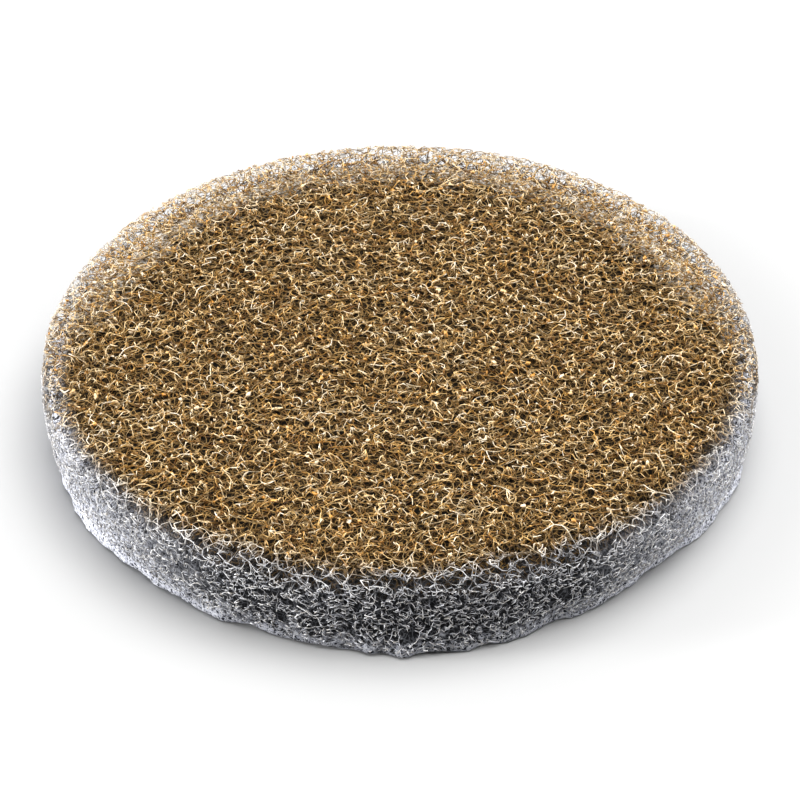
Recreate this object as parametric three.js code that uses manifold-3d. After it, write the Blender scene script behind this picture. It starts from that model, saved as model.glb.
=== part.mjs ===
// Round polishing pad: one lofty web of crimped fibres, its working face soaked with tan
// abrasive resin, its wall bare and grey and matted smooth towards the underside.
// Millimetres, +Z up. The origin is the middle of the flat underside.

import * as THREE from 'three';
import { mergeVertices } from 'three/addons/utils/BufferGeometryUtils.js';
import Module from 'manifold-3d';

// Driving dimensions
const padDiameter = 150; // across the widest part of the wall
const padThickness = 20; // underside to the ridges of the working face
const widestHeight = 12; // height at which the wall stands out furthest
const rimInset = 0.6; // the wall draws in by this much at the rim
const footInset = 1.7; // and by this much at the underside
const rimRounding = 3.5; // radius of the rim round the working face

// Open web: ridges of matted fibre round pores
const poreSpacing = 7; // between the middles of neighbouring pores
const poreDepth = 1.7; // from a ridge down to a pore's floor
const ridgeWidth = 1.6; // over which a ridge falls to the pore beside it

// Matted edge above the underside
const mattedHeight = 6; // pores close up over this height
const mattedDepth = 0.5; // what is left of a pore at the very edge
const lumpHeight = 9; // the edge's lumps fade out over this height

// Lumps and dents of the edge: where they lie, half their width, and how far they stand out
const edgeLumps = [
	{ angle: - 152, spread: 6, out: 1.0 },
	{ angle: - 120, spread: 5, out: 0.8 },
	{ angle: - 104, spread: 4, out: 0.9 },
	{ angle: - 84, spread: 15, out: 2.2 },
	{ angle: - 66, spread: 4, out: - 1.4 },
	{ angle: - 46, spread: 8, out: - 2.0 },
	{ angle: - 18, spread: 9, out: 0.7 },
	{ angle: 14, spread: 8, out: - 0.9 },
	{ angle: 47, spread: 11, out: 1.2 },
	{ angle: 88, spread: 10, out: - 1.1 },
	{ angle: 121, spread: 9, out: 1.3 },
	{ angle: 163, spread: 8, out: - 0.8 },
];

// Resin coat
const coatDepth = 5; // height over which the coat's colour gives way to the bare fibre's
const coatColor = new THREE.Color( 0xb08a4c );
const fibreColor = new THREE.Color( 0x9a9aa4 );

// Fineness of the web, as cuts of each edge of the icosahedron behind it
const webDetail = 28;

const padRadius = padDiameter / 2;
const rimRadius = padRadius - rimInset;
const rimHeight = padThickness - rimRounding;
const trimDepth = footInset + mattedDepth; // stock below the underside, cut off flat
const faceAngle = THREE.MathUtils.degToRad( 75 ); // part of the icosahedron that becomes the working face

// Section of the smooth pad, radius against height, from the middle of the working face round
// the rim and down the wall to the stock.
const section = new THREE.Path();
section.moveTo( 0, padThickness );
section.lineTo( rimRadius - rimRounding, padThickness );
section.absarc( rimRadius - rimRounding, rimHeight, rimRounding, Math.PI / 2, 0, true );
section.quadraticCurveTo( padRadius, ( rimHeight + widestHeight ) / 2, padRadius, widestHeight );
section.quadraticCurveTo( padRadius, widestHeight / 2, padRadius - footInset, - trimDepth );
const sectionLength = section.getLength();
const faceLength = rimRadius - rimRounding + rimRounding * Math.PI / 2;
const wallLength = sectionLength - faceLength;

// The section at a distance from the middle of the working face, with the way out of the pad.
function sectionAt( distance ) {

	const along = Math.min( 1, distance / sectionLength );
	const { x: radius, y: height } = section.getPointAt( along );
	const way = section.getTangentAt( along );
	return { radius, height, out: new THREE.Vector2( - way.y, way.x ) };

}

// A fixed number from 0 to 1 for each cell of a cubic grid.
function cellNumber( x, y, z, salt ) {

	const wave = Math.sin( x * 127.1 + y * 311.7 + z * 74.7 + salt * 19.3 ) * 43758.5453;
	return wave - Math.floor( wave );

}

// How much further the second nearest pore is than the nearest: 0 on a ridge.
function ridgeDistance( place ) {

	const grid = place.clone().divideScalar( poreSpacing );
	const cell = grid.clone().floor();
	let nearest = Infinity;
	let second = Infinity;
	for ( let i = - 1; i <= 1; i ++ ) for ( let j = - 1; j <= 1; j ++ ) for ( let k = - 1; k <= 1; k ++ ) {

		const x = cell.x + i;
		const y = cell.y + j;
		const z = cell.z + k;
		const pore = new THREE.Vector3(
			x + cellNumber( x, y, z, 1 ),
			y + cellNumber( x, y, z, 2 ),
			z + cellNumber( x, y, z, 3 )
		);
		const distance = pore.distanceTo( grid );
		second = Math.min( second, Math.max( nearest, distance ) );
		nearest = Math.min( nearest, distance );

	}

	return ( second - nearest ) * poreSpacing;

}

// Depth of the web's surface below its ridges.
function webDepth( place ) {

	const open = THREE.MathUtils.smoothstep( place.z, 0, mattedHeight );
	const depth = THREE.MathUtils.lerp( mattedDepth, poreDepth, open );
	return depth * THREE.MathUtils.smoothstep( ridgeDistance( place ), 0, ridgeWidth );

}

// How far the edge's lumps stand out at a place on the wall.
function lumpAt( place ) {

	const angle = THREE.MathUtils.radToDeg( Math.atan2( place.y, place.x ) );
	const fade = 1 - THREE.MathUtils.smoothstep( place.z, 0, lumpHeight );
	let out = 0;
	for ( const lump of edgeLumps ) {

		const apart = THREE.MathUtils.euclideanModulo( angle - lump.angle + 180, 360 ) - 180;
		out += lump.out * Math.exp( - ( ( apart / lump.spread ) ** 2 ) );

	}

	return out * fade;

}

// The web's surface at an angle round the pad and a distance along its section.
function placeOnWeb( around, distance ) {

	const { radius, height, out } = sectionAt( distance );
	const smooth = new THREE.Vector3( radius * Math.cos( around ), radius * Math.sin( around ), height );
	const depth = webDepth( smooth );
	const reach = radius - out.x * depth + lumpAt( smooth );
	return new THREE.Vector3( reach * Math.cos( around ), reach * Math.sin( around ), height - out.y * depth );

}

// Closed rough body: an icosahedron's points, spread with no stretch over the working face and
// the wall. The rest of them close the stock.
function webGeometry() {

	const geometry = new THREE.IcosahedronGeometry( 1, webDetail );
	geometry.deleteAttribute( 'normal' );
	geometry.deleteAttribute( 'uv' );
	const closed = mergeVertices( geometry );
	const position = closed.getAttribute( 'position' );
	const point = new THREE.Vector3();
	for ( let i = 0; i < position.count; i ++ ) {

		point.fromBufferAttribute( position, i ).normalize();
		const around = Math.atan2( point.y, point.x );
		const pastRim = Math.log( Math.tan( Math.acos( point.z ) / 2 ) / Math.tan( faceAngle / 2 ) );
		const pastWall = pastRim - wallLength / padRadius;
		const distance = faceLength * Math.exp( Math.min( 0, pastRim ) ) + padRadius * Math.max( 0, pastRim );
		const place = placeOnWeb( around, distance );
		const closing = Math.exp( - Math.max( 0, pastWall ) );
		position.setXYZ( i, place.x * closing, place.y * closing, place.z );

	}

	return closed;

}

// The block below the underside that trims the stock flat.
function trimGeometry() {

	const block = new THREE.BoxGeometry( 2 * padDiameter, 2 * padDiameter, 2 * padThickness );
	block.translate( 0, 0, - padThickness );
	block.deleteAttribute( 'normal' );
	block.deleteAttribute( 'uv' );
	return mergeVertices( block );

}

const wasm = await Module();
wasm.setup();

function toSolid( geometry ) {

	return new wasm.Manifold( new wasm.Mesh( {
		numProp: 3,
		vertProperties: new Float32Array( geometry.getAttribute( 'position' ).array ),
		triVerts: new Uint32Array( geometry.getIndex().array ),
	} ) );

}

function padGeometry() {

	const mesh = toSolid( webGeometry() ).subtract( toSolid( trimGeometry() ) ).getMesh();
	const geometry = new THREE.BufferGeometry();
	geometry.setAttribute( 'position', new THREE.BufferAttribute( mesh.vertProperties, 3 ) );
	geometry.setIndex( new THREE.BufferAttribute( mesh.triVerts, 1 ) );
	geometry.computeVertexNormals();
	return geometry;

}

// The coat's colour on the working face, giving way to the bare fibre's down the wall.
function colourByHeight( geometry ) {

	const position = geometry.getAttribute( 'position' );
	const colors = new Float32Array( position.count * 3 );
	const color = new THREE.Color();
	const coatTop = padThickness - poreDepth;
	for ( let i = 0; i < position.count; i ++ ) {

		const coat = THREE.MathUtils.smoothstep( position.getZ( i ), coatTop - coatDepth, coatTop );
		color.lerpColors( fibreColor, coatColor, coat ).toArray( colors, i * 3 );

	}

	geometry.setAttribute( 'color', new THREE.BufferAttribute( colors, 3 ) );

}

const geometry = padGeometry();
colourByHeight( geometry );
const material = new THREE.MeshStandardMaterial( { vertexColors: true, roughness: 0.85, metalness: 0 } );
const polishingPad = new THREE.Mesh( geometry, material );
polishingPad.name = 'polishing_pad';

const pad = new THREE.Group();
pad.add( polishingPad );

export default pad;
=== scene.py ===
import math
import bmesh
import bpy
import numpy as np
from mathutils import Matrix, Vector, kdtree, noise


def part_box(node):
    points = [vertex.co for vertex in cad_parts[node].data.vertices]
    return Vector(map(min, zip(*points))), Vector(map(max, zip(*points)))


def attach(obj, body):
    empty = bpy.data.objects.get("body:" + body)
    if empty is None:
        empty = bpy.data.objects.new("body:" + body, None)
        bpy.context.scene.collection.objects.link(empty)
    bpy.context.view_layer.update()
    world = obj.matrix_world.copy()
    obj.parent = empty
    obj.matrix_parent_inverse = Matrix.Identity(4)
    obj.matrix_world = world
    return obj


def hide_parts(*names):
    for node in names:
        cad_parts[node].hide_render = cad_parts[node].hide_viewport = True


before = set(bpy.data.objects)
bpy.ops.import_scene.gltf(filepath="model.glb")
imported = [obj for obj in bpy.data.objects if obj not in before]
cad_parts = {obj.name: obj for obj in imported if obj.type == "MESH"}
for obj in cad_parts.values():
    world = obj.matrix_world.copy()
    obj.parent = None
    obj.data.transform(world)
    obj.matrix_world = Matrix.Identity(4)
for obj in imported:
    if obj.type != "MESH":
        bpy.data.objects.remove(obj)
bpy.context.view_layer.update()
print("frame loaded:", list(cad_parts))

mm = 0.001  # lengths below are in millimetres, meshes in metres
padLow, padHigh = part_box("polishing_pad")

# the smooth pad that the web fills, as in the CAD solid
pad = {
    "radius": (padHigh[0] - padLow[0]) / 2 / mm,
    "height": padHigh[2] / mm,
    "widest": 12,        # height at which the wall stands out furthest
    "rimInset": 0.6,
    "footInset": 1.7,
    "rimRounding": 3.5,
    "lumpHeight": 9,     # lumps of the lower edge fade out over this height
    "lumps": [           # angle, half width in degrees, how far out
        (-152, 6, 1.0), (-120, 5, 0.8), (-104, 4, 0.9), (-84, 15, 2.2),
        (-66, 4, -1.4), (-46, 8, -2.0), (-18, 9, 0.7), (14, 8, -0.9),
        (47, 11, 1.2), (88, 10, -1.1), (121, 9, 1.3), (163, 8, -0.8),
        (-94.4, 1.8, 1.0), (-89.3, 2.0, 1.2),
    ],
}


def smoothStep(value, low, high):
    part = np.clip((value - low) / (high - low), 0, 1)
    return part * part * (3 - 2 * part)


def lumpAt(angle, height):
    out = np.zeros_like(angle)
    for middle, spread, reach in pad["lumps"]:
        apart = (np.degrees(angle) - middle + 180) % 360 - 180
        out += reach * np.exp(-(apart / spread) ** 2)
    return out * (1 - smoothStep(height, 0, pad["lumpHeight"]))


def wallRadius(angle, height):
    above = (height - pad["widest"]) / (pad["height"] - pad["widest"])
    below = (pad["widest"] - height) / pad["widest"]
    inset = pad["rimInset"] * np.clip(above, 0, 1) ** 2 + pad["footInset"] * np.clip(below, 0, 1) ** 2
    return pad["radius"] - inset + lumpAt(angle, height)


# the matted heart of the web: its lower edge shows, the rest stands for the deeper web and is painted dark as
# the shade below the open fibres
heart = {
    "foot": [(1.5, 0.0), (0.6, 0.2), (0.3, 0.7)],  # depth behind the wall, height
    "wall": [
        (0.35, 1.5), (0.6, 3.0), (0.9, 5.0), (1.2, 7.5), (1.5, 10.0), (1.8, 12.0),
        (2.4, 13.6), (3.6, 15.0), (6.0, 16.7), (10.0, 17.9), (16.0, 18.2),
    ],
    "turns": 360,
    "cuts": 3,
    "innerRings": 14,
    "feltLump": 0.8,           # soft bumps of the felt
    "lumpScale": 0.22,
    "feltPit": 0.25,
    "pitScale": 0.9,
    "calm": 0.6,               # share of the bumps that is lost up the wall
    "calmHeights": (2, 5),
    "roughHeights": (11, 13),  # and they come back here
    "flatBelow": 0.1,          # the underside has no bumps
    "lowestBump": 0.2,
    "axis": 1,                 # points this near the middle stay there
    "mergeWithin": 0.01,
}
heartDepths, heartHeights = np.array(heart["wall"]).T


def heartTop(behindWall):
    return np.interp(behindWall, heartDepths, heartHeights)


def finishObject(name, mesh, material):
    piece = bpy.data.objects.new(name, mesh)
    bpy.context.collection.objects.link(piece)
    mesh.materials.append(material)
    mesh.polygons.foreach_set("use_smooth", np.ones(len(mesh.polygons), bool))
    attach(piece, "root")
    return piece


def makeHeart(material):
    bm = bmesh.new()
    section = heart["foot"] + heart["wall"]
    line = [(0.0, 0.0)] + [(pad["radius"] - depth, height) for depth, height in section]
    edge, top = line[-1]
    rings = heart["innerRings"]
    line += [(edge * (1 - ring / rings), top) for ring in range(1, rings + 1)]
    verts = [bm.verts.new((x, 0, z)) for x, z in line]
    edges = [bm.edges.new(pair) for pair in zip(verts, verts[1:])]
    bmesh.ops.subdivide_edges(bm, edges=edges[1:len(section)], cuts=heart["cuts"])
    bmesh.ops.subdivide_edges(bm, edges=edges[:1], cuts=rings)
    bmesh.ops.spin(bm, geom=bm.verts[:] + bm.edges[:], cent=(0, 0, 0), axis=(0, 0, 1),
                   angle=2 * math.pi, steps=heart["turns"], use_merge=True)
    bmesh.ops.remove_doubles(bm, verts=bm.verts, dist=heart["mergeWithin"])
    bmesh.ops.recalc_face_normals(bm, faces=bm.faces)
    bm.normal_update()
    for vert in bm.verts:
        x, y, z = vert.co
        stretch = float(wallRadius(np.array(math.atan2(y, x)), np.array(z))) / pad["radius"]
        spot = Vector((x, y, z))
        bump = heart["feltLump"] * noise.noise(spot * heart["lumpScale"])
        bump += heart["feltPit"] * noise.noise(spot * heart["pitScale"])
        calm = heart["calm"] * float(smoothStep(z, *heart["calmHeights"]))
        bump *= 1 - calm + float(smoothStep(z, *heart["roughHeights"]))
        if z > heart["flatBelow"]:
            spot += vert.normal * bump
            spot.z = max(heart["lowestBump"], spot.z)
        if math.hypot(x, y) > heart["axis"]:
            spot.x *= stretch
            spot.y *= stretch
        vert.co = spot * mm
    mesh = bpy.data.meshes.new("matted_heart")
    bm.to_mesh(mesh)
    bm.free()
    piece = finishObject("matted_heart", mesh, material)
    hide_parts("polishing_pad")
    return piece


# the open web: strands that cross and stick together at knots
web = {
    "zones": [              # between knots, links of a knot, range behind the wall, range below the face
        (0.82, 2, (0, 80), (0, 1.35)),
        (0.52, 1, (0, 0.6), (1.35, 20)),
        (1.25, 2, (0.6, 9), (1.35, 9)),
    ],
    "beyond": 3,            # the grid of knots reaches this far past the radius
    "lowestKnot": 0.4,
    "scatter": 0.8,         # of the spacing, either way
    "sunk": 0.3,            # knots may lie this deep in the heart
    "poreScale": 0.42,      # gaps of a few millimetres, where this noise is high
    "poreLevel": 0.4,
    "feltFront": 0.5,       # height of the smooth felt in front
    "feltSides": 6.0,       # it reaches this much higher at the sides
    "nearest": (2, 12),     # a knot is linked to some of the others, by how near they are
    "steep": 1.25,          # strands lie flatter than upright
    "links": 12,            # most knot-to-knot lengths in a strand
    "sharpest": 0.0,        # least cosine of the turn at a knot
    "easing": 0.15,         # share of each neighbour in a knot's place along a strand
    "roundedAbove": 0.75,   # strands this near the face are drawn as curves
    "sides": 3,             # of a strand's section
    "thickness": (0.062, 0.12),
    "uneven": (0.8, 1.25),  # of a strand's thickness, along it
    "bareThickness": 0.85,  # where there is no resin
    "mapColumns": 24,
    "mapMargin": 0.03,
    "pieceTriangles": 190000,
}


def topAt(behindWall):
    rim = np.clip(pad["rimRounding"] - behindWall, 0, pad["rimRounding"])
    return pad["height"] - pad["rimRounding"] + np.sqrt(pad["rimRounding"] ** 2 - rim ** 2)


def depthsAt(points):
    angle = np.arctan2(points[:, 1], points[:, 0])
    behindWall = wallRadius(angle, points[:, 2]) - np.hypot(points[:, 0], points[:, 1])
    belowTop = topAt(np.maximum(behindWall, 0)) - points[:, 2]
    return behindWall, belowTop


# one knot somewhere in each cell of a grid, where there is web
def scatterKnots(rng, spacing, linked, behindRange, belowRange):
    reach = pad["radius"] + web["beyond"]
    side = np.arange(-reach, reach, spacing)
    layers = np.arange(web["lowestKnot"], pad["height"], spacing)
    cells = np.stack(np.meshgrid(side, side, layers), -1).reshape(-1, 3)
    knots = cells + rng.uniform(-web["scatter"], web["scatter"], cells.shape) * spacing
    behind, below = depthsAt(knots)
    felt = web["feltFront"] + web["feltSides"] * (knots[:, 0] / pad["radius"]) ** 2
    found = (behind > behindRange[0]) & (behind <= behindRange[1])
    found &= (below > belowRange[0]) & (below <= belowRange[1])
    found &= knots[:, 2] > heartTop(np.maximum(behind, 0)) - web["sunk"]
    found &= knots[:, 2] > felt
    knots = knots[found]
    pores = np.array([noise.noise(Vector(knot) * web["poreScale"]) for knot in knots])
    knots = knots[pores < web["poreLevel"]]
    return knots, np.full(len(knots), linked)


def linkKnots(rng, knots, linked):
    tree = kdtree.KDTree(len(knots))
    squeezed = knots * (1, 1, web["steep"])
    for index, knot in enumerate(squeezed):
        tree.insert(knot, index)
    tree.balance()
    links = [set() for knot in knots]
    first, last = web["nearest"]
    picks = first + rng.random((len(knots), last - first)).argsort(1)
    for index, knot in enumerate(squeezed):
        near = tree.find_n(knot, last + 1)
        for pick in picks[index, :linked[index]]:
            other = near[pick][1]
            links[index].add(other)
            links[other].add(index)
    return links


# strands run on through the knots as straight as they can, and use each link once
def runOn(strand, spots, links):
    while len(strand) <= web["links"]:
        here = strand[-1]
        way = (spots[here] - spots[strand[-2]]).normalized()
        turns = [((spots[other] - spots[here]).normalized().dot(way), other) for other in links[here]]
        straightness, ahead = max(turns, default=(-1, None))
        if straightness < web["sharpest"]:
            return
        links[here].discard(ahead)
        links[ahead].discard(here)
        strand.append(ahead)


def layStrands(rng, knots, links):
    spots = [Vector(knot) for knot in knots]
    strands = []
    for start in rng.permutation(len(knots)).tolist():
        while links[start]:
            ahead = min(links[start])
            links[start].discard(ahead)
            links[ahead].discard(start)
            strand = [start, ahead]
            runOn(strand, spots, links)
            strand.reverse()
            runOn(strand, spots, links)
            strands.append(strand)
    return strands


def easeBends(path):
    eased = path.copy()
    eased[1:-1] += web["easing"] * (path[:-2] + path[2:] - 2 * path[1:-1])
    if len(path) < 3 or eased[:, 2].mean() < pad["height"] - web["roundedAbove"]:
        return eased
    # a strand of the working face gets a point on the curve between each two
    long = np.vstack([eased[:1], eased, eased[-1:]])
    rounded = np.empty((2 * len(eased) - 1, 3))
    rounded[::2] = eased
    rounded[1::2] = (9 * (long[1:-2] + long[2:-1]) - long[:-3] - long[3:]) / 16
    return rounded


def strandMesh(name, paths, halfThick):
    ring = bpy.data.curves.new(name + "_section", "CURVE")
    outline = ring.splines.new("POLY")
    outline.points.add(web["sides"] - 1)
    for index, point in enumerate(outline.points):
        turn = -2 * math.pi * index / web["sides"]
        point.co = (math.cos(turn), math.sin(turn), 0, 1)
    outline.use_cyclic_u = True
    section = bpy.data.objects.new(name + "_section", ring)
    bpy.context.collection.objects.link(section)
    data = bpy.data.curves.new(name + "_lines", "CURVE")
    data.dimensions = "3D"
    data.bevel_mode = "OBJECT"
    data.bevel_object = section
    for path, thick in zip(paths, halfThick):
        line = data.splines.new("POLY")
        line.points.add(len(path) - 1)
        places = np.hstack([path * mm, np.ones((len(path), 1))])
        line.points.foreach_set("co", places.astype(np.float32).ravel())
        line.points.foreach_set("radius", (thick * mm).astype(np.float32))
    lines = bpy.data.objects.new(name + "_lines", data)
    bpy.context.collection.objects.link(lines)
    mesh = bpy.data.meshes.new_from_object(lines.evaluated_get(bpy.context.evaluated_depsgraph_get()))
    mesh.name = name
    for helper in (lines, section):
        bpy.data.objects.remove(helper)
    for curve in (data, ring):
        bpy.data.curves.remove(curve)
    return mesh


# each strand gets its own cell of the map
def spreadMap(mesh, lengths):
    columns = web["mapColumns"]
    rows = math.ceil(len(lengths) / columns)
    margin = web["mapMargin"]
    layer = mesh.uv_layers[0]
    layer.name = "OFBake"
    uv = np.empty(len(mesh.loops) * 2, np.float32)
    layer.data.foreach_get("uv", uv)
    uv = uv.reshape(-1, 2)
    cell = np.repeat(np.arange(len(lengths)), (lengths - 1) * web["sides"] * 4)
    uv[:, 0] = (cell % columns + margin + (1 - 2 * margin) * uv[:, 0]) / columns
    uv[:, 1] = (cell // columns + margin + (1 - 2 * margin) * uv[:, 1]) / rows
    layer.data.foreach_set("uv", uv.ravel())


def closeEnds(mesh):
    bm = bmesh.new()
    bm.from_mesh(mesh)
    ends = [edge for edge in bm.edges if edge.is_boundary]
    bmesh.ops.holes_fill(bm, edges=ends, sides=web["sides"])
    bm.to_mesh(mesh)
    bm.free()


# the resin: where it has soaked in, and how it thins out
coat = {
    "rise": 0.4,                 # middle of the fade above the working face, at the wall
    "slope": 0.9,                # it falls by this for each millimetre further in
    "slopeFrom": 1.5,
    "slopeLength": 16,
    "sink": 3.5,                 # and by this at the back
    "sinkFrom": (-0.15, 0.45),   # shares of the radius
    "sideSink": 4.5,             # and by this at the far sides
    "sideFrom": (0.86, 1),
    "fade": 3.6,                 # half of the height over which it fades
    "ragged": 3.2,
    "raggedScale": 0.17,
    "raggedStrand": 0.6,         # and each strand by itself
    "thinnest": 0.65,            # share of the resin at the wall
    "thinWithin": 7,
}


def coatAt(points, own):
    ragged = np.array([noise.noise(Vector(spot) * coat["raggedScale"]) for spot in points]) * coat["ragged"]
    behindWall = pad["radius"] - np.hypot(points[:, 0], points[:, 1])
    sideways = np.abs(points[:, 0]) / pad["radius"]
    sink = coat["sink"] * smoothStep(points[:, 1] / pad["radius"], *coat["sinkFrom"])
    sink = np.maximum(sink, coat["sideSink"] * smoothStep(sideways, *coat["sideFrom"]))
    further = np.clip(behindWall - coat["slopeFrom"], 0, coat["slopeLength"])
    middle = pad["height"] + coat["rise"] - coat["slope"] * further - sink
    soaked = smoothStep(points[:, 2] + ragged + own, middle - coat["fade"], middle + coat["fade"])
    share = coat["thinnest"] + (1 - coat["thinnest"]) * smoothStep(behindWall, 0, coat["thinWithin"])
    return soaked * share


# painted shade: strands are darker the further they lie below the surface, less so where the web is open to
# the back and the sides
shade = {
    "deepest": 5,
    "backFrom": (-0.2, 0.3),     # shares of the radius
    "backWithin": 14,
    "backDepth": 0.35,           # coated strands of the back are shaded as if this far below
    "sideFrom": (0.35, 0.85),
    "sideLess": 0.25,            # bare strands are shaded as if less far in by these shares
    "rimLess": 0.5,
    "rimDepths": (2, 6),
}


def shadeDepthAt(points, coated):
    behindWall, belowTop = depthsAt(points)
    x, y = points[:, 0] / pad["radius"], points[:, 1] / pad["radius"]
    back = smoothStep(y, *shade["backFrom"]) * (1 - smoothStep(behindWall, 0, shade["backWithin"]))
    inside = belowTop * (1 - back) + shade["backDepth"] * back
    side = smoothStep(np.abs(x), *shade["sideFrom"])
    rim = 1 - smoothStep(belowTop, *shade["rimDepths"])
    outside = np.minimum(behindWall, belowTop) * (1 - shade["sideLess"] * side) * (1 - shade["rimLess"] * rim)
    return np.clip(coated * inside + (1 - coated) * outside, 0, shade["deepest"]) / shade["deepest"]


def addStrands(name, rng, paths, material):
    lengths = np.array([len(path) for path in paths])
    thin, broad = web["thickness"]
    own = thin + (broad - thin) * rng.random(len(paths)) ** 2  # mostly thin
    points = np.vstack(paths)
    coated = coatAt(points, np.repeat(rng.normal(0, coat["raggedStrand"], len(paths)), lengths))
    thick = np.repeat(own, lengths) * rng.uniform(*web["uneven"], len(points))
    thick *= coated + web["bareThickness"] * (1 - coated)
    mesh = strandMesh(name, paths, np.split(thick, np.cumsum(lengths)[:-1]))
    spreadMap(mesh, lengths)
    values = {
        "tint": np.repeat(rng.uniform(0, 1, len(paths)), lengths),
        "coat": coated,
        # painted shade: how far a strand lies below the surface, eased where light comes through
        "shadeDepth": shadeDepthAt(points, coated),
    }
    for label, numbers in values.items():
        field = mesh.attributes.new(label, "FLOAT", "POINT")
        field.data.foreach_set("value", np.repeat(numbers, web["sides"]).astype(np.float32))
    closeEnds(mesh)
    return finishObject(name, mesh, material)


# drops of resin on the strands
drop = {
    "count": 1500,
    "leastCoat": 0.55,
    "deepest": 2.2,
    "length": (0.2, 0.45),   # half of it, along the strand
    "width": (0.12, 0.22),
    "flatness": 0.8,
    "large": 0.12,           # share of drops that are larger
    "largeScale": 1.9,
    "uneven": 0.08,
}


def makeDrops(rng, paths, material):
    places = np.array([path[(len(path) - 1) // 2] for path in paths])
    ways = np.array([path[(len(path) - 1) // 2 + 1] for path in paths]) - places
    near = np.minimum(*depthsAt(places)) < drop["deepest"]
    found = np.flatnonzero((coatAt(places, 0) > drop["leastCoat"]) & near)
    chosen = rng.choice(found, drop["count"], replace=False)
    bm = bmesh.new()
    uvLayer = bm.loops.layers.uv.new("OFBake")
    tints = bm.verts.layers.float.new("tint")
    across = math.ceil(math.sqrt(drop["count"]))
    for index, (place, way) in enumerate(zip(places[chosen], ways[chosen])):
        turn = Vector(way).to_track_quat("X", "Z")
        length = rng.uniform(*drop["length"])
        width = rng.uniform(*drop["width"])
        height = rng.uniform(*drop["width"]) * drop["flatness"]
        scale = drop["largeScale"] if rng.uniform() < drop["large"] else 1
        matrix = Matrix.LocRotScale(Vector(place) * mm, turn, Vector((length, width, height)) * scale * mm)
        made = bmesh.ops.create_icosphere(bm, subdivisions=1, radius=1, matrix=matrix, calc_uvs=True)
        tint = rng.uniform()
        column, row = index % across, index // across
        for vert in made["verts"]:
            vert[tints] = tint
            vert.co += Vector(rng.normal(0, drop["uneven"], 3)) * scale * mm
            for loop in vert.link_loops:
                spot = loop[uvLayer].uv
                loop[uvLayer].uv = [(column + spot.x) / across, (row + spot.y) / across]
    mesh = bpy.data.meshes.new("resin_drops")
    bm.to_mesh(mesh)
    bm.free()
    return finishObject("resin_drops", mesh, material)


# materials
def newMaterial(name):
    material = bpy.data.materials.new(name)
    material.use_nodes = True
    tree = material.node_tree
    return material, tree, tree.nodes["Principled BSDF"]


def linear(red, green, blue):
    def one(value):
        value /= 255
        return value / 12.92 if value <= 0.04045 else ((value + 0.055) / 1.055) ** 2.4
    return (one(red), one(green), one(blue), 1)


# a socket takes another node's output, or a fixed value
def feed(tree, socket, value):
    if hasattr(value, "links"):
        tree.links.new(value, socket)
    else:
        socket.default_value = value


def ramp(tree, value, stops):
    node = tree.nodes.new("ShaderNodeValToRGB")
    elements = node.color_ramp.elements
    while len(elements) < len(stops):
        elements.new(0.5)
    for element, (place, colour) in zip(elements, stops):
        element.position = place
        element.color = colour
    tree.links.new(value, node.inputs["Fac"])
    return node.outputs["Color"]


def mixColours(tree, blend, factor, first, second):
    node = tree.nodes.new("ShaderNodeMix")
    node.data_type = "RGBA"
    node.blend_type = blend
    feed(tree, node.inputs[0], factor)
    feed(tree, node.inputs[6], first)
    feed(tree, node.inputs[7], second)
    return node.outputs[2]


def calc(tree, operation, *values):
    node = tree.nodes.new("ShaderNodeMath")
    node.operation = operation
    for socket, value in zip(node.inputs, values):
        feed(tree, socket, value)
    return node.outputs["Value"]


def span(tree, value, low, high):
    node = tree.nodes.new("ShaderNodeMapRange")
    node.inputs["From Min"].default_value = low
    node.inputs["From Max"].default_value = high
    tree.links.new(value, node.inputs["Value"])
    return node.outputs["Result"]


def attribute(tree, name):
    node = tree.nodes.new("ShaderNodeAttribute")
    node.attribute_name = name
    return node.outputs["Fac"]


def noiseNode(tree, scale, detail):
    place = tree.nodes.new("ShaderNodeTexCoord")
    node = tree.nodes.new("ShaderNodeTexNoise")
    node.inputs["Scale"].default_value = scale
    node.inputs["Detail"].default_value = detail
    tree.links.new(place.outputs["Object"], node.inputs["Vector"])
    return node.outputs["Fac"]


strandLook = {
    "resin": [  # by a strand's tint
        (0.0, linear(128, 94, 36)), (0.16, linear(184, 140, 68)), (0.35, linear(224, 188, 122)),
        (0.6, linear(244, 223, 182)), (1.0, linear(254, 248, 236)),
    ],
    "bare": [
        (0.0, linear(126, 128, 137)), (0.25, linear(190, 192, 199)),
        (0.55, linear(234, 235, 240)), (1.0, linear(254, 254, 255)),
    ],
    "patches": [(0.3, (0.78, 0.6, 0.35, 1)), (0.42, (0.92, 0.86, 0.75, 1)), (0.56, (1, 1, 1, 1))],
    "patchNoise": (600, 3),    # scale, detail
    "grain": [(0.4, (0.5, 0.46, 0.4, 1)), (0.5, (0.9, 0.88, 0.85, 1)), (0.56, (1, 1, 1, 1))],
    "grainNoise": (2600, 2),
    "coatedShade": [            # painted shade, by the share of the deepest
        (0.0, (1, 1, 1, 1)), (0.07, (0.98, 0.96, 0.94, 1)), (0.14, (0.68, 0.59, 0.43, 1)),
        (0.22, (0.33, 0.25, 0.14, 1)), (0.32, (0.13, 0.09, 0.04, 1)),
    ],
    "bareShade": [
        (0.0, (1, 1, 1, 1)), (0.03, (0.92, 0.92, 0.92, 1)), (0.09, (0.5, 0.5, 0.51, 1)),
        (0.17, (0.2, 0.2, 0.21, 1)), (0.35, (0.05, 0.05, 0.05, 1)),
    ],
    "roughness": 0.35,
    "specular": 0.35,
}


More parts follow.
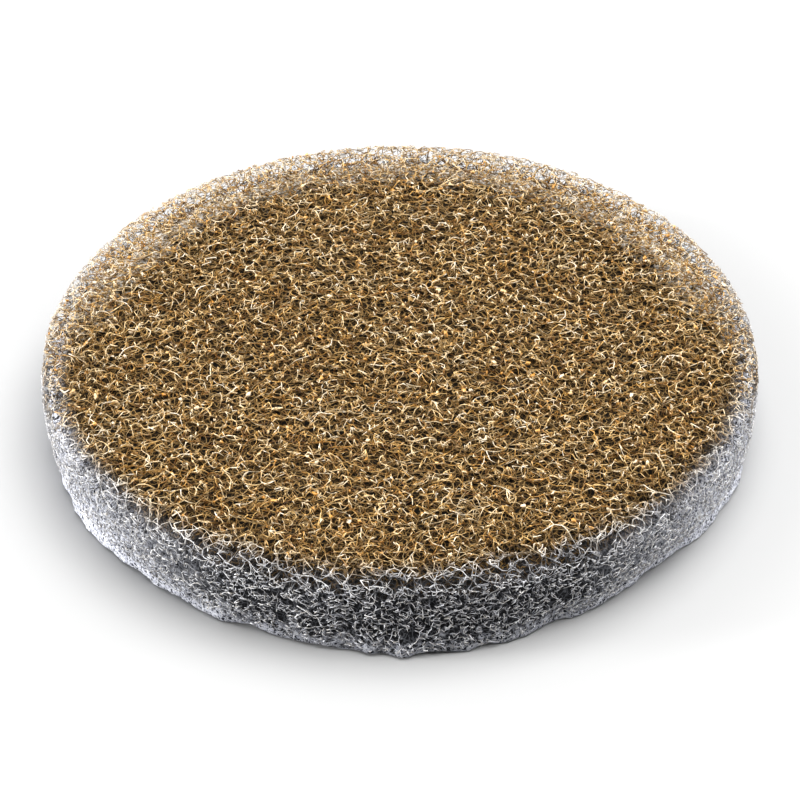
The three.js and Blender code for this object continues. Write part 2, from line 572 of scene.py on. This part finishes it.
def strandMaterial():
    look = strandLook
    material, tree, shader = newMaterial("web_strand")
    tint, coated, shadeDepth = (attribute(tree, name) for name in ("tint", "coat", "shadeDepth"))
    resin = ramp(tree, tint, look["resin"])
    bare = ramp(tree, tint, look["bare"])
    patches = ramp(tree, noiseNode(tree, *look["patchNoise"]), look["patches"])
    grain = ramp(tree, noiseNode(tree, *look["grainNoise"]), look["grain"])
    body = mixColours(tree, "MIX", coated, bare, resin)
    body = mixColours(tree, "MULTIPLY", coated, body, patches)
    body = mixColours(tree, "MULTIPLY", 1.0, body, grain)
    # painted shade: strands darken with how far they lie below the surface
    coatedShade = ramp(tree, shadeDepth, look["coatedShade"])
    bareShade = ramp(tree, shadeDepth, look["bareShade"])
    paintedShade = mixColours(tree, "MIX", coated, bareShade, coatedShade)
    colour = mixColours(tree, "MULTIPLY", 1.0, body, paintedShade)
    tree.links.new(colour, shader.inputs["Base Color"])
    shader.inputs["Roughness"].default_value = look["roughness"]
    shader.inputs["Specular IOR Level"].default_value = look["specular"]
    return material


dropLook = {
    "resin": [
        (0.0, linear(190, 130, 48)), (0.4, linear(214, 162, 90)),
        (0.7, linear(228, 198, 152)), (1.0, linear(240, 222, 196)),
    ],
    "roughness": 0.35,
}


def dropMaterial():
    material, tree, shader = newMaterial("resin_drop")
    resin = ramp(tree, attribute(tree, "tint"), dropLook["resin"])
    tree.links.new(resin, shader.inputs["Base Color"])
    shader.inputs["Roughness"].default_value = dropLook["roughness"]
    return material


# nets of bent fibres, as the deeper layers of the web show between the strands
net = {
    "bendScale": 500,
    "bend": 0.002,
    "core": 3,       # a line is at its full strength over one part in this many of its width
}


# a net for each layer, the nearest last
def drawFibres(tree, ground, layers):
    place = tree.nodes.new("ShaderNodeTexCoord")
    bends = tree.nodes.new("ShaderNodeTexNoise")
    bends.inputs["Scale"].default_value = net["bendScale"]
    tree.links.new(place.outputs["Object"], bends.inputs["Vector"])
    moved = tree.nodes.new("ShaderNodeVectorMath")
    moved.operation = "MULTIPLY_ADD"
    moved.inputs[1].default_value = (net["bend"],) * 3
    tree.links.new(bends.outputs["Color"], moved.inputs[0])
    tree.links.new(place.outputs["Object"], moved.inputs[2])
    for scale, width, colour in layers:
        cells = tree.nodes.new("ShaderNodeTexVoronoi")
        cells.feature = "DISTANCE_TO_EDGE"
        cells.inputs["Scale"].default_value = scale
        tree.links.new(moved.outputs["Vector"], cells.inputs["Vector"])
        fade = [(width / net["core"], (1, 1, 1, 1)), (width, (0, 0, 0, 1))]
        line = ramp(tree, cells.outputs["Distance"], fade)
        ground = mixColours(tree, "MIX", line, ground, colour)
    return ground


# lengths of the heart's look are in metres, as its shader reads them
heartLook = {
    "frayNoise": (700, 2),          # scale, detail
    "feltNoise": (1500, 4),
    "felt": [(0.47, linear(32, 34, 42)), (0.51, linear(150, 152, 164)), (0.7, linear(198, 200, 211))],
    "feltNets": [(900, 0.08, linear(206, 208, 216)), (640, 0.06, linear(224, 226, 232))],
    "feltHeights": (0.0085, 0.011),
    "feltFray": 0.014,
    "feltSides": 0.006,             # felt reaches this much higher at the sides
    "feltShade": (0.5, 0.5, 0.5, 1),  # painted shade in front
    "dimSides": (0.05, 0.6),        # here and below, squared shares of the radius
    # painted shade: the depths of the wall and of the working face are near black, with dim nets for deeper
    # fibres in shade
    "wall": linear(18, 18, 20),
    "wallNets": [(1100, 0.11, linear(34, 35, 37)), (800, 0.08, linear(74, 75, 79))],
    # the painted shade of the wall gives way to felt towards the sides, where the lamps light it
    "paleSides": (0.22, 0.86),
    "paleHeights": (0.0168, 0.0138),
    "face": linear(9, 6, 2),
    "faceNets": [(1000, 0.07, linear(72, 53, 26)), (640, 0.05, linear(140, 111, 68))],
    "faceEdge": (0.002, 0.006),     # behind the wall
    "rimEdge": (0.022, 0.003),
    "rimBack": (-0.02, 0.03),
    "rimHeights": (0.012, 0.015),
    "rimFray": 0.9,
    "rimLevels": (0.76, 1.5),
    "specks": [(0.38, linear(84, 64, 38)), (0.45, linear(172, 152, 122)), (0.52, linear(238, 233, 224))],
    "speckNets": [(620, 0.07, linear(150, 122, 80))],
    "roughness": 0.9,
    "specular": 0.1,
    "bump": 0.6,
    "bumpHeight": 0.0003,
}


def heartMaterial():
    look = heartLook
    material, tree, shader = newMaterial("matted_fibre")
    place = tree.nodes.new("ShaderNodeTexCoord")
    split = tree.nodes.new("ShaderNodeSeparateXYZ")
    tree.links.new(place.outputs["Object"], split.inputs["Vector"])
    x, y, z = split.outputs
    radius = pad["radius"] * mm
    across = calc(tree, "MULTIPLY", x, 1 / radius)
    sideways = calc(tree, "MULTIPLY", across, across)
    outward = calc(tree, "SQRT", calc(tree, "MULTIPLY_ADD", x, x, calc(tree, "MULTIPLY", y, y)))
    inner = span(tree, outward, *(radius - depth for depth in look["faceEdge"]))
    fray = noiseNode(tree, *look["frayNoise"])
    felt = noiseNode(tree, *look["feltNoise"])
    # smooth felt below, open web with painted shade above, with more felt towards the sides
    level = calc(tree, "MULTIPLY_ADD", fray, look["feltFray"], z)
    level = calc(tree, "MULTIPLY_ADD", sideways, -look["feltSides"], level)
    opened = span(tree, level, *look["feltHeights"])
    matted = drawFibres(tree, ramp(tree, felt, look["felt"]), look["feltNets"])
    # painted shade: depths of the wall and of the working face, dark as in shade, giving way to felt at the
    # sides where the lamps light them
    low = drawFibres(tree, look["wall"], look["wallNets"])
    side = span(tree, sideways, *look["paleSides"])
    side = calc(tree, "MULTIPLY", side, span(tree, z, *look["paleHeights"]))
    low = mixColours(tree, "MIX", side, low, matted)
    high = drawFibres(tree, look["face"], look["faceNets"])
    dark = mixColours(tree, "MIX", inner, low, high)
    # the rim at the back, where light shines through
    rim = span(tree, outward, *(radius - depth for depth in look["rimEdge"]))
    airy = calc(tree, "MULTIPLY", rim, span(tree, y, *look["rimBack"]))
    airy = calc(tree, "MULTIPLY", airy, span(tree, z, *look["rimHeights"]))
    airy = span(tree, calc(tree, "MULTIPLY_ADD", fray, look["rimFray"], airy), *look["rimLevels"])
    pale = drawFibres(tree, ramp(tree, felt, look["specks"]), look["speckNets"])
    depths = mixColours(tree, "MIX", airy, dark, pale)
    # painted shade: felt of the front wall is darker than that of the sides and the underside, as the front
    # is in shade
    shadedFelt = mixColours(tree, "MULTIPLY", 1.0, matted, look["feltShade"])
    light = calc(tree, "MAXIMUM", span(tree, sideways, *look["dimSides"]), inner)
    matted = mixColours(tree, "MIX", light, shadedFelt, matted)
    colour = mixColours(tree, "MIX", opened, matted, depths)
    tree.links.new(colour, shader.inputs["Base Color"])
    shader.inputs["Roughness"].default_value = look["roughness"]
    shader.inputs["Specular IOR Level"].default_value = look["specular"]
    bump = tree.nodes.new("ShaderNodeBump")
    bump.inputs["Strength"].default_value = look["bump"]
    bump.inputs["Distance"].default_value = look["bumpHeight"]
    tree.links.new(felt, bump.inputs["Height"])
    tree.links.new(bump.outputs["Normal"], shader.inputs["Normal"])
    return material


# stage: pale floor, white surround, soft lamps and the camera
view = {
    "elevation": 38.88,
    "distance": 600,
    "lens": 126.97,
    "roll": 0.35,
    "aimHeight": 2.9,
}


def makeCamera():
    data = bpy.data.cameras.new("camera")
    data.lens = view["lens"]
    camera = bpy.data.objects.new("camera", data)
    bpy.context.collection.objects.link(camera)
    rise = math.radians(view["elevation"])
    eye = Vector((0, -math.cos(rise), math.sin(rise))) * view["distance"] * mm
    aim = Vector((0, 0, view["aimHeight"] * mm))
    camera.location = eye
    camera.rotation_euler = (aim - eye).to_track_quat("-Z", "Y").to_euler()
    camera.rotation_euler.rotate_axis("Z", math.radians(-view["roll"]))
    bpy.context.scene.camera = camera


lamps = {
    "overhead": {"from": (16, 10, 90), "spread": 60, "power": 6.9},
    "left": {"from": (-95, -4, 9), "spread": 14, "power": 7.0},
    "right": {"from": (95, -4, 9), "spread": 14, "power": 1.9},
}


def makeLamps():
    for name, lamp in lamps.items():
        data = bpy.data.lights.new(name, "SUN")
        data.angle = math.radians(lamp["spread"])
        data.energy = lamp["power"]
        thing = bpy.data.objects.new(name, data)
        bpy.context.collection.objects.link(thing)
        thing.rotation_euler = Vector(lamp["from"]).to_track_quat("Z", "Y").to_euler()


surround = {
    "lighting": 0.08,
    # painted shadow: the floor is darker near the pad and paler further out, so that only the shadow near the
    # pad shows
    "floor": 0.37,
    "farFloor": 0.555,
    "farRange": (0.08, 0.14),  # metres from the middle
    "floorBounce": 0.4,
    "floorReach": 3,
    "floorRoughness": 0.9,
}


def makeWorld():
    world = bpy.data.worlds.new("surround")
    bpy.context.scene.world = world
    world.use_nodes = True
    tree = world.node_tree
    paint = tree.nodes["Background"]
    paint.inputs["Color"].default_value = (1, 1, 1, 1)
    path = tree.nodes.new("ShaderNodeLightPath")
    seen = calc(tree, "MAXIMUM", path.outputs["Is Camera Ray"], path.outputs["Is Transmission Ray"])
    level = tree.nodes.new("ShaderNodeMapRange")
    level.inputs["To Min"].default_value = surround["lighting"]
    level.inputs["To Max"].default_value = 1.0
    tree.links.new(seen, level.inputs["Value"])
    tree.links.new(level.outputs["Result"], paint.inputs["Strength"])


def makeFloor():
    bm = bmesh.new()
    bmesh.ops.create_grid(bm, x_segments=1, y_segments=1, size=surround["floorReach"])
    mesh = bpy.data.meshes.new("floor")
    bm.to_mesh(mesh)
    bm.free()
    floor = bpy.data.objects.new("floor", mesh)
    bpy.context.collection.objects.link(floor)
    material, tree, shader = newMaterial("pale_floor")
    path = tree.nodes.new("ShaderNodeLightPath")
    place = tree.nodes.new("ShaderNodeTexCoord")
    outward = tree.nodes.new("ShaderNodeVectorMath")
    outward.operation = "LENGTH"
    tree.links.new(place.outputs["Object"], outward.inputs[0])
    # painted shadow: darker floor near the pad, paler further out
    far = span(tree, outward.outputs["Value"], *surround["farRange"])
    near, distant, dull = ((surround[name],) * 3 + (1,) for name in ("floor", "farFloor", "floorBounce"))
    pale = mixColours(tree, "MIX", far, near, distant)
    colour = mixColours(tree, "MIX", path.outputs["Is Camera Ray"], dull, pale)
    tree.links.new(colour, shader.inputs["Base Color"])
    shader.inputs["Roughness"].default_value = surround["floorRoughness"]
    shader.inputs["Specular IOR Level"].default_value = 0.0
    mesh.materials.append(material)


bpy.context.scene.view_settings.view_transform = "Standard"
makeCamera()
makeLamps()
makeWorld()
makeFloor()
print("stage set")

heartPiece = makeHeart(heartMaterial())
print("heart made:", len(heartPiece.data.polygons), "faces")

strandPaint = strandMaterial()
rng = np.random.default_rng(11)
scattered = [scatterKnots(rng, *zone) for zone in web["zones"]]
knots = np.vstack([places for places, linked in scattered])
linked = np.hstack([linked for places, linked in scattered])
paths = [easeBends(knots[strand]) for strand in layStrands(rng, knots, linkKnots(rng, knots, linked))]
order = rng.permutation(len(paths))
triangles = sum(2 * web["sides"] * (len(path) - 1) + 2 for path in paths)  # two for the closed ends
print("web laid:", len(knots), "knots", len(paths), "strands", triangles, "triangles")
count = math.ceil(triangles / web["pieceTriangles"])
for number in range(count):
    part = [paths[index] for index in order[number::count]]
    piece = addStrands("web_strands_%d" % (number + 1), rng, part, strandPaint)
    print("strands made:", piece.name, len(piece.data.polygons), "faces")
drops = makeDrops(rng, paths, dropMaterial())
print("drops made:", len(drops.data.polygons), "faces")

added = heartPiece.data.polygons[:], drops.data.polygons[:]
triangles += sum(len(face.vertices) - 2 for faces in added for face in faces)
print("triangles in all:", triangles)
